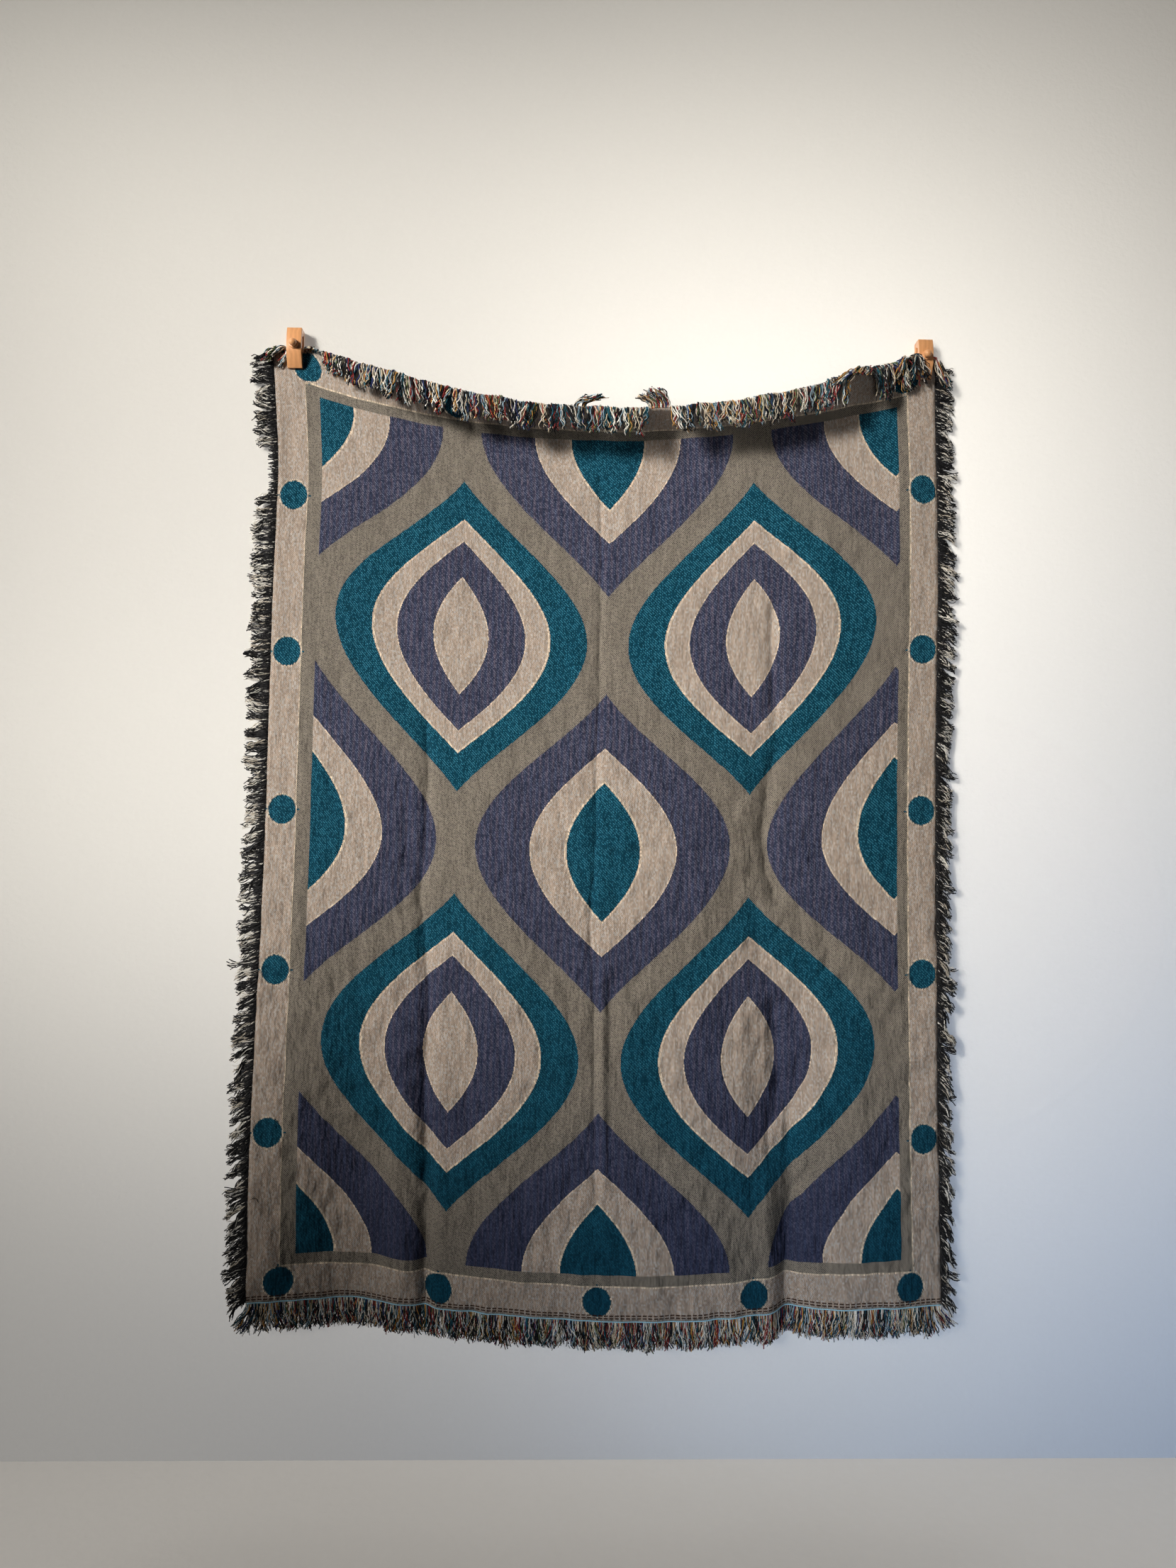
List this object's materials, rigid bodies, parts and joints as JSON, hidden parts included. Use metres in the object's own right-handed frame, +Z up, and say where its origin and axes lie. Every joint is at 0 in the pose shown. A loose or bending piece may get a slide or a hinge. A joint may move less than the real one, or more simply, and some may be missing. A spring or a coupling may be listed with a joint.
{
  "type": "blanket hung from two wooden wall clamps",
  "caption": "Rectangular woven cotton blanket with a fringe on every side, hung by its top corners from wooden wall clamps, its top edge sagging and tipping forward between them.",
  "frame": {"origin": "on the wall plane, midway between the centres of the two clamps' back faces", "axes": "+Z up along the hang, +X to the right seen from the front, +Y into the wall"},
  "size_m": [1.3643, 0.1324, 1.8901],
  "materials": {
    "woven_cotton": "matte jacquard weave in beige, taupe, teal and navy",
    "mixed_yarn": "matte cut cotton yarns in many colours",
    "dark_yarn": "matte cut cotton yarns in black and cream",
    "clamp_wood": "smooth lacquered light wood"
  },
  "bodies": {
    "root": {"blanket": "woven_cotton", "fringe_top": "mixed_yarn", "fringe_bottom": "mixed_yarn", "fringe_left": "dark_yarn", "fringe_right": "dark_yarn", "clamp_left_plate": "clamp_wood", "clamp_left_jaw": "clamp_wood", "clamp_left_knob": "clamp_wood", "clamp_right_plate": "clamp_wood", "clamp_right_jaw": "clamp_wood", "clamp_right_knob": "clamp_wood"}
  },
  "joints": []
}
